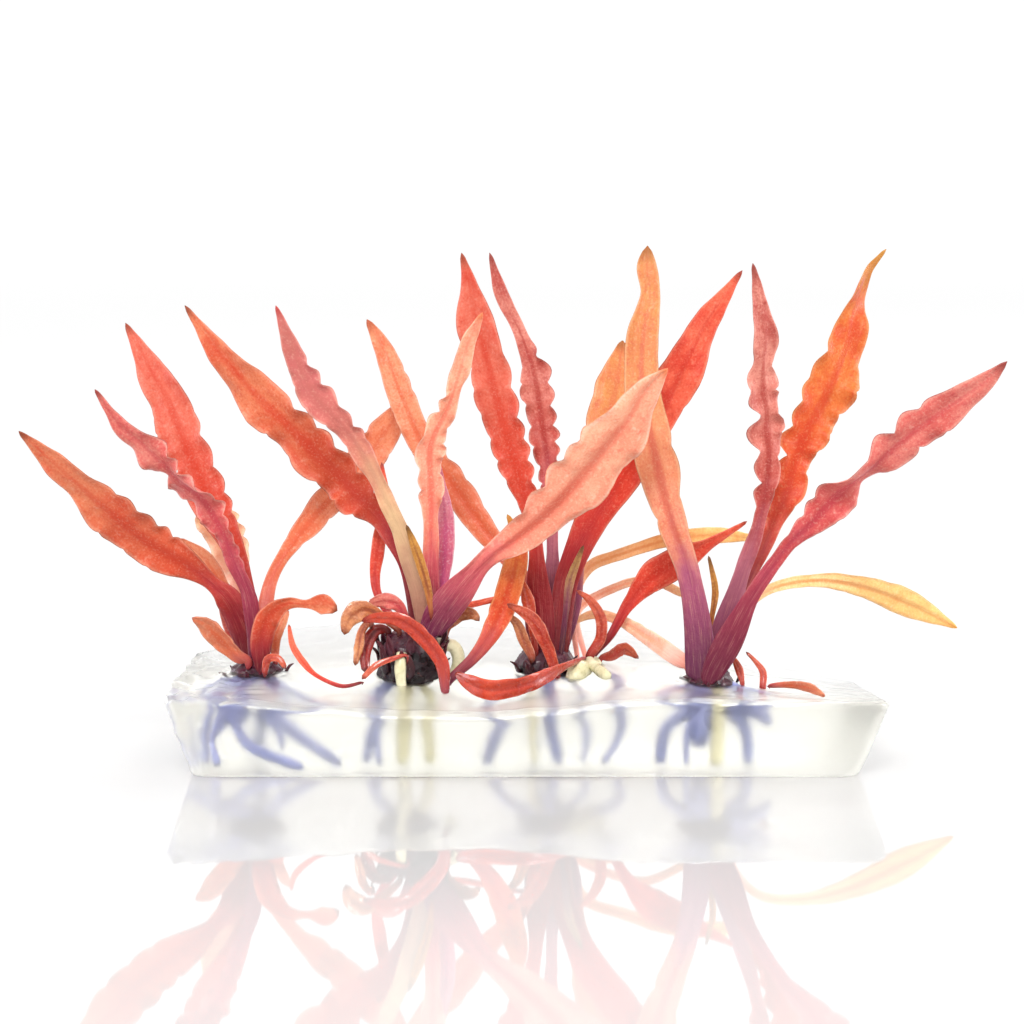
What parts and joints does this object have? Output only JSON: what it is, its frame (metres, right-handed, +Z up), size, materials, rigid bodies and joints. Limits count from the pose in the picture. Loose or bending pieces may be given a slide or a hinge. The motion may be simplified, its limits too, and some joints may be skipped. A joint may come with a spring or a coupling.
{
  "type": "aquarium plants in a slab of culture gel",
  "caption": "Clear slab of tissue-culture gel with rosettes of long wavy red and orange cryptocoryne leaves standing in it, their roots seen inside it.",
  "frame": {"origin": "middle of the slab's flat foot", "axes": "+Z up, +X along the slab to the picture's right, -Y towards the slab's front, which the picture shows"},
  "size_m": [0.1357, 0.052, 0.0725],
  "materials": {
    "gel": "clear, slightly milky wet gel",
    "rhizome": "dark, wet, rough",
    "orange_leaf": "satin, orange with a red midrib",
    "coral_leaf": "satin, coral with an orange-red midrib",
    "rose_leaf": "satin, rose red with paler margins",
    "mauve_leaf": "satin, brownish rose",
    "red_leaf": "satin, red",
    "salmon_leaf": "satin, salmon with long folds",
    "tan_leaf": "satin, tan orange",
    "pale_leaf": "satin, yellowish orange",
    "violet_leaf": "satin, silvery violet",
    "olive_leaf": "satin, olive brown",
    "wet_leaf": "glossy, wet, dark red",
    "withered_leaf": "glossy, withered, brown"
  },
  "bodies": {
    "root": {"gel_slab": "gel", "plant_1_rhizome": "rhizome", "plant_2_rhizome": "rhizome", "plant_3_rhizome": "rhizome", "offset_rhizome": "rhizome", "plant_4_rhizome": "rhizome", "plant_1_leaf_outer_left": "orange_leaf", "plant_1_leaf_crinkled": "rose_leaf", "plant_1_leaf_broad": "coral_leaf", "plant_1_leaf_behind": "pale_leaf", "plant_1_leaf_short": "pale_leaf", "plant_1_leaf_leaning_right": "orange_leaf", "plant_1_low_leaf_wet": "wet_leaf", "plant_1_low_leaf_spoon": "pale_leaf", "plant_1_low_leaf_curl": "wet_leaf", "plant_1_leaf_sheath": "rose_leaf", "plant_1_low_leaf_small": "wet_leaf", "plant_2_leaf_broad_left": "orange_leaf", "plant_2_leaf_crinkled": "rose_leaf", "plant_2_leaf_upright": "rose_leaf", "plant_2_leaf_violet": "violet_leaf", "plant_2_leaf_salmon": "salmon_leaf", "plant_2_leaf_dark_tip": "orange_leaf", "plant_2_leaf_narrow_back": "red_leaf", "plant_2_leaf_bud": "olive_leaf", "plant_2_low_leaf_brown_curl": "withered_leaf", "plant_2_low_leaf_brown_hanging": "withered_leaf", "plant_2_low_leaf_pink": "wet_leaf", "plant_2_low_leaf_red_arch": "wet_leaf", "plant_2_low_leaf_dark_strap": "wet_leaf", "plant_2_low_leaf_small_arch": "wet_leaf", "plant_2_low_leaf_brown_right": "withered_leaf", "plant_2_low_leaf_thin_red": "red_leaf", "plant_3_leaf_left": "orange_leaf", "plant_3_leaf_broad": "coral_leaf", "plant_3_leaf_scalloped": "mauve_leaf", "plant_3_leaf_tan": "tan_leaf", "plant_3_leaf_red_right": "red_leaf", "plant_3_low_leaf_hook": "wet_leaf", "plant_3_low_leaf_front_arch": "wet_leaf", "plant_3_low_leaf_brown_curl": "withered_leaf", "plant_3_low_leaf_small_red": "wet_leaf", "plant_3_low_leaf_thin_left": "red_leaf", "plant_3_leaf_sheath": "olive_leaf", "offset_leaf_red": "red_leaf", "offset_leaf_yellow_arch": "pale_leaf", "offset_leaf_thin_pale": "pale_leaf", "offset_low_leaf_small": "wet_leaf", "offset_low_leaf_strap": "wet_leaf", "plant_4_leaf_tallest": "tan_leaf", "plant_4_leaf_scalloped": "mauve_leaf", "plant_4_leaf_twisted_tip": "orange_leaf", "plant_4_leaf_twisted_waist": "rose_leaf", "plant_4_low_leaf_pale_arch": "pale_leaf", "plant_4_leaf_yellow": "pale_leaf", "plant_4_leaf_bud": "olive_leaf", "plant_4_low_leaf_short": "wet_leaf", "plant_4_low_leaf_hook": "wet_leaf", "plant_4_low_leaf_lying": "wet_leaf"}
  },
  "joints": []
}
